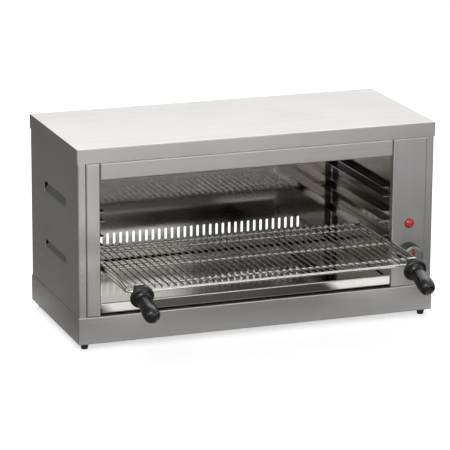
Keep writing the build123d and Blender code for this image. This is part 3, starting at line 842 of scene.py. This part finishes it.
class Bench:
    """Short ways to model by hand in edit mode."""

    @staticmethod
    def clear() -> None:
        """Leave edit mode and deselect everything."""
        if bpy.context.object and bpy.context.object.mode != "OBJECT":
            bpy.ops.object.mode_set(mode="OBJECT")
        bpy.ops.object.select_all(action="DESELECT")

    @staticmethod
    def cylinder(name: str, radius: float, depth: float, place: Point, sides: int) -> bpy.types.Object:
        """Start from an upright cylinder, open in edit mode.

        Args:
            name: Name of the new piece.
            radius: Radius in metres.
            depth: Height in metres.
            place: Its middle.
            sides: Number of side faces.

        Returns:
            The new piece.
        """
        Bench.clear()
        bpy.ops.mesh.primitive_cylinder_add(vertices=sides, radius=radius, depth=depth, location=place)
        return Bench._opened(name)

    @staticmethod
    def cube(name: str, size: float, place: Point) -> bpy.types.Object:
        """Start from a cube, open in edit mode.

        Args:
            name: Name of the new piece.
            size: Length of its edges in metres.
            place: Its middle.

        Returns:
            The new piece.
        """
        Bench.clear()
        bpy.ops.mesh.primitive_cube_add(size=size, location=place)
        return Bench._opened(name)

    @staticmethod
    def ball(name: str, radius: float, rounds: int) -> bpy.types.Object:
        """Start from a faceted ball at the origin, open in edit mode.

        Args:
            name: Name of the new piece.
            radius: Its radius.
            rounds: How often its faces are divided.

        Returns:
            The new piece.
        """
        Bench.clear()
        bpy.ops.mesh.primitive_ico_sphere_add(subdivisions=rounds, radius=radius)
        return Bench._opened(name)

    @staticmethod
    def _opened(name: str) -> bpy.types.Object:
        """Name the new piece, settle its place and open it in edit mode.

        Args:
            name: Name of the new piece.

        Returns:
            The new piece.
        """
        piece = bpy.context.object
        piece.name = name
        piece.data.name = name
        bpy.ops.object.transform_apply(location=True, rotation=True, scale=True)
        bpy.ops.object.mode_set(mode="EDIT")
        return piece

    @staticmethod
    def pick(piece: bpy.types.Object, test: FaceTest) -> None:
        """Select the faces that pass a test.

        Args:
            piece: Piece in edit mode.
            test: Takes a face's middle and its normal.
        """
        bpy.ops.mesh.select_mode(type="FACE")
        bpy.ops.mesh.select_all(action="DESELECT")
        mesh = bmesh.from_edit_mesh(piece.data)
        for face in mesh.faces:
            face.select_set(test(face.calc_center_median(), face.normal))
        bmesh.update_edit_mesh(piece.data)

    @staticmethod
    def pick_edges(piece: bpy.types.Object, test: EdgeTest) -> None:
        """Select the edges that pass a test.

        Args:
            piece: Piece in edit mode.
            test: Takes an edge's two ends.
        """
        bpy.ops.mesh.select_mode(type="EDGE")
        bpy.ops.mesh.select_all(action="DESELECT")
        mesh = bmesh.from_edit_mesh(piece.data)
        for edge in mesh.edges:
            edge.select_set(test(edge.verts[0].co, edge.verts[1].co))
        bmesh.update_edit_mesh(piece.data)

    @staticmethod
    def close(piece: bpy.types.Object, smooth_angle: float = 35.0) -> None:
        """Leave edit mode and shade the piece smooth.

        Args:
            piece: The piece.
            smooth_angle: Angle in degrees past which an edge stays sharp.
        """
        bpy.ops.object.mode_set(mode="OBJECT")
        Bench.clear()
        bpy.context.view_layer.objects.active = piece
        piece.select_set(True)
        bpy.ops.object.shade_smooth_by_angle(angle=math.radians(smooth_angle))

    @staticmethod
    def cut(piece: bpy.types.Object, cutter: bpy.types.Object) -> None:
        """Take one shape out of another.

        Args:
            piece: Shape that is cut.
            cutter: Shape that is taken out of it, and thrown away.
        """
        Bench.clear()
        bpy.context.view_layer.objects.active = piece
        piece.select_set(True)
        modifier = piece.modifiers.new("recess", "BOOLEAN")
        modifier.operation = "DIFFERENCE"
        modifier.object = cutter
        bpy.ops.object.modifier_apply(modifier=modifier.name)
        bpy.data.objects.remove(cutter)

    @staticmethod
    def copies(piece: bpy.types.Object, name: str, turns: list[Matrix]) -> bpy.types.Object:
        """Copy a piece to many places and join the copies to one piece.

        Args:
            piece: The model of them all, which is thrown away.
            name: Name of the joined piece.
            turns: Place and turn of each copy.

        Returns:
            The joined piece.
        """
        made = []
        for turn in turns:
            copy = bpy.data.objects.new(name, piece.data.copy())
            copy.data.transform(turn)
            bpy.context.scene.collection.objects.link(copy)
            made.append(copy)
        bpy.data.objects.remove(piece)
        Bench.clear()
        for copy in made:
            copy.select_set(True)
        bpy.context.view_layer.objects.active = made[0]
        bpy.ops.object.join()
        made[0].name = name
        made[0].data.name = name
        return made[0]


# ---------------------------------------------------------------- sub-assemblies
@dataclass
class Assembly:
    """A group of CAD nodes and the made pieces that go with them."""

    book: FinishBook

    def groups(self) -> dict[str, tuple[str, ...]]:
        """Nodes of the group under the name of their finish."""
        return {}

    def build(self) -> list[bpy.types.Object]:
        """Make the pieces that the CAD leaves to this script.

        Returns:
            The new pieces.
        """
        return []

    def dress(self) -> None:
        """Give the group's CAD nodes their finishes."""
        self.book.dress(self.groups())

    def finish_piece(self, piece: bpy.types.Object, body: str, finish: str, slot: str) -> bpy.types.Object:
        """Give a made piece its finish and body.

        Args:
            piece: The piece.
            body: CAD body that it moves with.
            finish: Name of its finish.
            slot: Not used.

        Returns:
            The same piece.
        """
        piece.data.materials.clear()
        piece.data.materials.append(self.book.finishes[finish])
        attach(piece, body)
        return piece


@dataclass
class PanScrew:
    """Cross-recessed pan-head screw, upright, with the underside of its head at zero."""

    head_radius: float
    head_height: float
    length: float
    shank_radius: float
    recess_arm: float = 0.0019
    recess_width: float = 0.0008
    recess_depth: float = 0.0013
    point: float = 0.0016
    point_taper: float = 0.45
    sides: int = 40
    rim_from: float = 0.95
    rounding: float = 0.62
    rounding_steps: int = 5

    def build(self) -> bpy.types.Object:
        """Model the screw.

        Returns:
            The screw.
        """
        middle = (0.0, 0.0, self.head_height / 2)
        screw = Bench.cylinder("screw", self.head_radius, self.head_height, middle, self.sides)
        Bench.pick(screw, lambda place, normal: normal.z < -FACING)
        bpy.ops.mesh.inset(thickness=self.head_radius - self.shank_radius)
        straight = -(self.length - self.point)
        bpy.ops.mesh.extrude_region_move(TRANSFORM_OT_translate={"value": (0.0, 0.0, straight)})
        bpy.ops.mesh.extrude_region_move(TRANSFORM_OT_translate={"value": (0.0, 0.0, -self.point)})
        bpy.ops.transform.resize(value=(self.point_taper, self.point_taper, 1.0))
        rim = self.head_height * self.rim_from
        Bench.pick_edges(screw, lambda a, b: a.z > rim and b.z > rim)
        width = self.head_height * self.rounding
        bpy.ops.mesh.bevel(offset=width, segments=self.rounding_steps, affect="EDGES")
        Bench.close(screw)
        Bench.cut(screw, self._recess())
        Bench.close(screw)
        return screw

    def _recess(self) -> bpy.types.Object:
        """Model the cross that is cut into the head.

        Returns:
            The cross.
        """
        size = self.recess_width
        height = self.head_height + size / 2 - self.recess_depth
        cross = Bench.cube("cross", size, (0.0, 0.0, height))
        Bench.pick(cross, lambda place, normal: abs(normal.z) < FACING)
        reach = self.recess_arm - size / 2
        bpy.ops.mesh.extrude_faces_move(TRANSFORM_OT_shrink_fatten={"value": reach})
        Bench.pick(cross, lambda place, normal: normal.z > FACING)
        lift = self.recess_depth + self.recess_width
        bpy.ops.mesh.extrude_region_move(TRANSFORM_OT_translate={"value": (0.0, 0.0, lift)})
        Bench.close(cross)
        return cross


@dataclass
class WeldBead:
    """Small flattened bead of melted metal, a little uneven."""

    half_length: float
    half_width: float
    half_height: float
    rounds: int = 2
    unevenness: float = 0.05
    seed: int = 4
    smooth_angle: float = 80.0

    def build(self) -> bpy.types.Object:
        """Model the bead round the origin.

        Returns:
            The bead.
        """
        bead = Bench.ball("bead", 1.0, self.rounds)
        bpy.ops.mesh.select_all(action="SELECT")
        bpy.ops.transform.vertex_random(offset=self.unevenness, seed=self.seed)
        size = (self.half_length, self.half_width, self.half_height)
        bpy.ops.transform.resize(value=size, center_override=(0.0, 0.0, 0.0))
        Bench.close(bead, self.smooth_angle)
        return bead


@dataclass
class OuterShell(Assembly):
    """Folded cabinet, its front frame, feet and back connections.

    The crosses of the back screws stand at angles that differ by row and column, in degrees.
    """

    screw_head_radius: float = 0.0036
    screw_shank_radius: float = 0.00175
    cross_angle: float = 23.0
    row_angle: float = 37.0
    column_angle: float = 61.0

    def groups(self) -> dict[str, tuple[str, ...]]:
        """Nodes of the shell under the name of their finish."""
        return {
            "outer_steel": ("base_pan", "top_cover", "top_rail"),
            "outer_steel_upright": ("left_stile", "control_panel"),
            "outer_steel_side": ("left_side_panel", "right_side_panel"),
            "rear_steel": ("back_panel",),
            "plated_steel": ("back_panel_screws", "foot_screws"),
            "foot_rubber": ("foot_front_left", "foot_front_right", "foot_rear_left", "foot_rear_right"),
            "gland_plastic": ("cable_gland", "cable_gland_nut"),
        }

    def build(self) -> list[bpy.types.Object]:
        """Make the back panel's screws with their cross recesses.

        Returns:
            The new pieces.
        """
        low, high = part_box("back_panel_screws")
        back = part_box("back_panel")[1].y
        head = high.y - back
        radius = self.screw_head_radius
        rows = (low.z + radius, (low.z + high.z) / 2, high.z - radius)
        screw = PanScrew(radius, head, back - low.y, self.screw_shank_radius).build()
        facing_back = Matrix.Rotation(math.radians(-90.0), 4, "X")
        turns = []
        for column, x in enumerate((low.x + radius, high.x - radius)):
            for row, z in enumerate(rows):
                angle = self.cross_angle + self.row_angle * row + self.column_angle * column
                spin = Matrix.Rotation(math.radians(angle), 4, "Z")
                turns.append(Matrix.Translation((x, back, z)) @ facing_back @ spin)
        screws = Bench.copies(screw, "back_screws_cross_head", turns)
        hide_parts("back_panel_screws")
        return [self.finish_piece(screws, "housing", "plated_steel", "fastener")]


@dataclass
class Cavity(Assembly):
    """Hot space: walls, roof, heating tubes, runners and crumb tray."""

    def groups(self) -> dict[str, tuple[str, ...]]:
        """Nodes of the cavity under the name of their finish.

        Returns:
            Names of the nodes for each finish.
        """
        levels = ("low", "middle", "high")
        runners = tuple(f"runner_{side}_{level}" for side in ("left", "right") for level in levels)
        brackets = tuple(f"tube_{kind}_{end}" for kind in ("flange", "hanger") for end in ("front", "rear"))
        return {
            "cavity_steel": ("cavity_left_wall", "cavity_right_wall"),
            "tray_steel": ("crumb_tray", "cavity_floor"),
            "reflector_steel": ("ceiling_reflector",),
            "runner_steel": runners,
            "heater_sheath": ("heating_tube_front", "heating_tube_rear"),
            "bracket_steel": brackets,
        }


@dataclass
class SlidingGrid(Assembly):
    """Wire grid with its two handles."""

    frame_wire_radius: float = 0.0025
    bar_wire_radius: float = 0.0014
    bar_count: int = 42
    cross_spacing: float = 0.094
    handle_tilt: float = 17.9
    bead_reach: float = 0.0007
    bead_half_width: float = 0.0012
    bead_half_height: float = 0.0007
    bead_sink: float = 0.0003
    seam_half_length: float = 0.0075
    seam_half_width: float = 0.0011
    seam_rounds: int = 3
    seam_offset: float = 0.0018
    seam_sink: float = 0.0004

    def groups(self) -> dict[str, tuple[str, ...]]:
        """Nodes of the grid under the name of their finish."""
        return {
            "grid_wire": ("wire_grid",),
            "bracket_steel": ("handle_bracket_left", "handle_bracket_right"),
            "plated_steel": ("handle_nut_left", "handle_nut_right"),
            "handle_phenolic": ("handle_left", "handle_right"),
        }

    def build(self) -> list[bpy.types.Object]:
        """Make the weld beads of the grid and of the handle brackets.

        Returns:
            The new pieces.
        """
        low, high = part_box("wire_grid")
        radius = self.frame_wire_radius
        wire_z = low.z + radius
        left = low.x + radius
        pitch = (high.x - low.x - 2 * radius) / (self.bar_count + 1)
        front = low.y + radius
        middle = (low.y + high.y) / 2
        rows = [front, high.y - radius]
        rows += [middle + step * self.cross_spacing for step in (-1, 0, 1)]
        turns = []
        for index in range(self.bar_count):
            for row, y in enumerate(rows):
                flip = Matrix.Rotation(math.pi * ((index + row) % 2), 4, "Z")
                place = (left + (index + 1) * pitch, y, wire_z + radius - self.bead_sink)
                turns.append(Matrix.Translation(place) @ flip)
        bead = WeldBead(self.bar_wire_radius + self.bead_reach, self.bead_half_width, self.bead_half_height)
        welds = Bench.copies(bead.build(), "grid_welds", turns)
        seam = WeldBead(self.seam_half_length, self.seam_half_width, self.seam_half_width, self.seam_rounds)
        seams = Bench.copies(seam.build(), "bracket_welds", self._seams(front, wire_z))
        return [self.finish_piece(piece, "grid", "grid_wire", "grid_wire") for piece in (welds, seams)]

    def _seams(self, front: float, wire_z: float) -> list[Matrix]:
        """Places of the seams over and under the line where a bracket meets the front wire.

        Args:
            front: Y of the front wire.
            wire_z: Height of the front wire.

        Returns:
            One matrix for each seam.
        """
        tilt = math.radians(self.handle_tilt)
        radius = self.frame_wire_radius
        touch = Vector((0.0, front - radius * math.cos(tilt), wire_z - radius * math.sin(tilt)))
        upwards = Vector((0.0, -math.sin(tilt), math.cos(tilt)))
        places = []
        for node in ("handle_bracket_left", "handle_bracket_right"):
            low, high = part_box(node)
            for side in (-1.0, 1.0):
                shift = Vector(((low.x + high.x) / 2, self.seam_sink, 0.0))
                place = touch + upwards * (side * self.seam_offset) + shift
                places.append(Matrix.Translation(place))
        return places


@dataclass
class Controls(Assembly):
    """Knob, regulator, pilot lamp and terminal block."""

    def groups(self) -> dict[str, tuple[str, ...]]:
        """Nodes of the controls under the name of their finish."""
        return {
            "knob_plastic": ("control_knob",),
            "knob_disc": ("knob_face_disc",),
            "pointer_red": ("knob_pointer",),
            "plated_steel": ("switch_shaft", "heat_switch_screws", "pilot_lamp_nut"),
            "switch_body": ("heat_switch",),
            "lamp_body": ("pilot_lamp_housing",),
            "lamp_red": ("pilot_lamp_lens",),
            "terminal_white": ("terminal_block",),
        }


# ----------------------------------------------------------------------- studio
@dataclass
class Softbox:
    """Rectangular soft lamp that looks at a point."""

    name: str
    place: Point
    target: Point
    width: float
    height: float
    power: float
    colour: Colour = (1.0, 1.0, 1.0)

    def build(self) -> bpy.types.Object:
        """Make the lamp.

        Returns:
            The lamp.
        """
        data = bpy.data.lights.new(self.name, "AREA")
        data.shape = "RECTANGLE"
        data.size = self.width
        data.size_y = self.height
        data.energy = self.power
        data.color = self.colour
        lamp = bpy.data.objects.new(self.name, data)
        lamp.location = self.place
        lamp.rotation_euler = (Vector(self.target) - Vector(self.place)).to_track_quat("-Z", "Y").to_euler()
        bpy.context.scene.collection.objects.link(lamp)
        return lamp


@dataclass(frozen=True)
class Card:
    """White card that lies on the floor, given by its edges."""

    left: float
    right: float
    front: float
    back: float
    softness: float = 0.02

    def mask(self, x: Signal, y: Signal) -> Signal:
        """Mark the card on the floor.

        Args:
            x: Place across.
            y: Place in depth.

        Returns:
            One on the card and zero round it, with soft edges.
        """
        starts_x = x.ramp(self.left, self.left + self.softness)
        ends_x = x.ramp(self.right, self.right + self.softness)
        starts_y = y.ramp(self.front, self.front + self.softness)
        ends_y = y.ramp(self.back, self.back + self.softness)
        return starts_x * (1.0 - ends_x) * starts_y * (1.0 - ends_y)


@dataclass
class Studio:
    """Floor, world and lamps.

    The floor and the world are white to the camera. Metal sees the floor dark in front of the object,
    paler further off, pale from under the front edge to the back and grey to the left, with three
    white cards in front. It sees the world dimmer at the back left and in front. Each band gives
    where one tone passes into the next.
    """

    floor_size: float = 14.0
    floor_colour: Colour = (0.80, 0.80, 0.80)
    floor_lift: float = 0.62
    near_left_colour: Colour = (0.32, 0.32, 0.32)
    near_right_colour: Colour = (0.05, 0.05, 0.05)
    near_band_x: Band = (-0.10, 0.40)
    far_colour: Colour = (0.36, 0.36, 0.36)
    far_band_y: Band = (-0.60, -0.42)
    edge_colour: Colour = (0.80, 0.80, 0.80)
    edge_band_y: Band = (-0.165, -0.125)
    left_colour: Colour = (0.24, 0.24, 0.24)
    left_band_x: Band = (-0.35, -0.29)
    left_band_y: Band = (-0.3, -0.1)
    cards: tuple[Card, ...] = (
        Card(-0.20, -0.14, -0.31, -0.21),
        Card(0.20, 0.32, -0.31, -0.21),
        Card(-0.26, -0.06, -0.72, -0.46),
    )
    card_glow: float = 1.1
    world_glow: float = 0.34
    world_dim: float = 0.20
    corner_band_x: Band = (-0.30, 0.15)
    corner_band_y: Band = (-0.2, 0.3)
    front_band_x: Band = (0.0, 0.2)
    front_band_y: Band = (-0.85, -0.60)
    lamps: tuple[Softbox, ...] = (
        Softbox("key", (-1.5, -2.6, 2.1), (0.0, 0.0, 0.15), 1.8, 1.4, 40.0),
        Softbox("front", (0.62, -2.30, 0.30), (0.0, 0.0, 0.15), 1.2, 0.5, 5.8),
        Softbox("window", (0.58, -2.30, 0.86), (-0.1, 0.1, 0.05), 0.5, 0.4, 1.4),
        Softbox("overhead", (0.5, 1.5, 2.0), (0.0, 0.1, 0.3), 2.4, 1.6, 26.0),
    )

    def build_floor(self) -> bpy.types.Object:
        """Make the floor that the object stands on.

        Returns:
            The floor.
        """
        bpy.ops.object.select_all(action="DESELECT")
        bpy.ops.mesh.primitive_plane_add(size=self.floor_size, location=(0.0, 0.0, 0.0))
        floor = bpy.context.object
        floor.name = "studio_floor"
        material, shader = new_material("studio_floor")
        path = shader.node("ShaderNodeLightPath").outputs
        seen = Signal(shader, path["Is Camera Ray"])
        glossy = Signal(shader, path["Is Glossy Ray"])
        x, y, _ = shader.axes(shader.position)
        left = (1.0 - x.ramp(*self.left_band_x)) * y.ramp(*self.left_band_y)
        near = shader.mixed(x.ramp(*self.near_band_x), self.near_left_colour, self.near_right_colour)
        ground = shader.mixed(y.ramp(*self.far_band_y), self.far_colour, near)
        ground = shader.mixed(y.ramp(*self.edge_band_y), ground, self.edge_colour)
        ground = shader.mixed(left, ground, self.left_colour)
        glow = seen * self.floor_lift
        for card in self.cards:
            mask = card.mask(x, y)
            ground = shader.mixed(mask, ground, self.floor_colour)
            glow = glow + mask * glossy * self.card_glow
        colour = shader.mixed(seen, ground, self.floor_colour)
        diffuse = shader.node("ShaderNodeBsdfDiffuse", None, {"Color": colour})
        lift = shader.node("ShaderNodeEmission", None, {"Strength": glow})
        both = shader.node("ShaderNodeAddShader", None, {0: diffuse.outputs[0], 1: lift.outputs[0]})
        shader.node("ShaderNodeOutputMaterial", None, {"Surface": both.outputs[0]})
        floor.data.materials.append(material)
        return floor

    def build_world(self) -> None:
        """Light the object evenly from all round, and show a white world, dimmer to metal in two places."""
        world = bpy.data.worlds.new("studio_world")
        bpy.context.scene.world = world
        world.use_nodes = True
        shader = Shader(world.node_tree)
        path = shader.node("ShaderNodeLightPath").outputs
        camera = Signal(shader, path["Is Camera Ray"])
        glossy = Signal(shader, path["Is Glossy Ray"])
        clear = Signal(shader, path["Is Transmission Ray"])
        x, y, _ = shader.axes(shader.node("ShaderNodeTexCoord").outputs["Generated"])
        dark_corner = (1.0 - x.ramp(*self.corner_band_x)) * y.ramp(*self.corner_band_y)
        dark_front = (1.0 - y.ramp(*self.front_band_y)) * x.ramp(*self.front_band_x)
        gloss = 1.0 - (dark_corner + dark_front).clamped() * (1.0 - self.world_dim)
        shown = (camera + clear).clamped()
        plain = 1.0 - (shown + glossy).clamped()
        strength = shown + glossy * (1.0 - shown) * gloss + plain * self.world_glow
        glow = shader.node("ShaderNodeBackground", None, {"Color": (1.0, 1.0, 1.0), "Strength": strength})
        shader.node("ShaderNodeOutputWorld", None, {"Surface": glow.outputs[0]})

    def build(self) -> None:
        """Make floor, world and lamps."""
        self.build_floor()
        self.build_world()
        for lamp in self.lamps:
            lamp.build()
            LOG.info("lamp %s", lamp.name)


@dataclass
class ViewPoint:
    """Camera at the photograph's place, with its angles in degrees."""

    place: Point = (-1.4628, -3.8759, 1.3036)
    azimuth: float = -20.1
    elevation: float = 15.33
    roll: float = 0.34
    focal_px: float = 2699.8
    clip_start: float = 0.05
    clip_end: float = 60.0

    def build(self) -> bpy.types.Object:
        """Make the camera and give it to the scene.

        Returns:
            The camera.
        """
        azimuth = math.radians(self.azimuth)
        elevation = math.radians(self.elevation)
        roll = math.radians(self.roll)
        level = Vector((math.cos(azimuth), math.sin(azimuth), 0.0))
        outwards = Vector((math.sin(azimuth), -math.cos(azimuth), 0.0))
        back = outwards * math.cos(elevation) + Vector((0.0, 0.0, math.sin(elevation)))
        raised = back.cross(level)
        right = level * math.cos(roll) + raised * math.sin(roll)
        up = raised * math.cos(roll) - level * math.sin(roll)
        data = bpy.data.cameras.new("main_camera")
        data.sensor_width = SENSOR_WIDTH_MM
        data.lens = self.focal_px / IMAGE_WIDTH_PX * SENSOR_WIDTH_MM
        data.clip_start = self.clip_start
        data.clip_end = self.clip_end
        camera = bpy.data.objects.new("main_camera", data)
        turn = Matrix((right, up, back)).transposed().to_4x4()
        camera.matrix_world = Matrix.Translation(self.place) @ turn
        bpy.context.scene.collection.objects.link(camera)
        bpy.context.scene.camera = camera
        return camera


def main() -> None:
    """Build the dressed object and its studio."""
    logging.basicConfig(level=logging.INFO, format="%(name)s: %(message)s")
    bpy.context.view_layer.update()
    low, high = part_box("control_knob")
    centre = (low + high) / 2
    book = FinishBook((centre.x, centre.y, centre.z))
    book.make()
    for assembly in (OuterShell(book), Cavity(book), SlidingGrid(book), Controls(book)):
        assembly.dress()
        for piece in assembly.build():
            LOG.info("piece %s", piece.name)
    Studio().build()
    ViewPoint().build()
    bpy.context.scene.view_settings.view_transform = "Standard"
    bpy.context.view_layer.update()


if __name__ == "__main__":
    main()
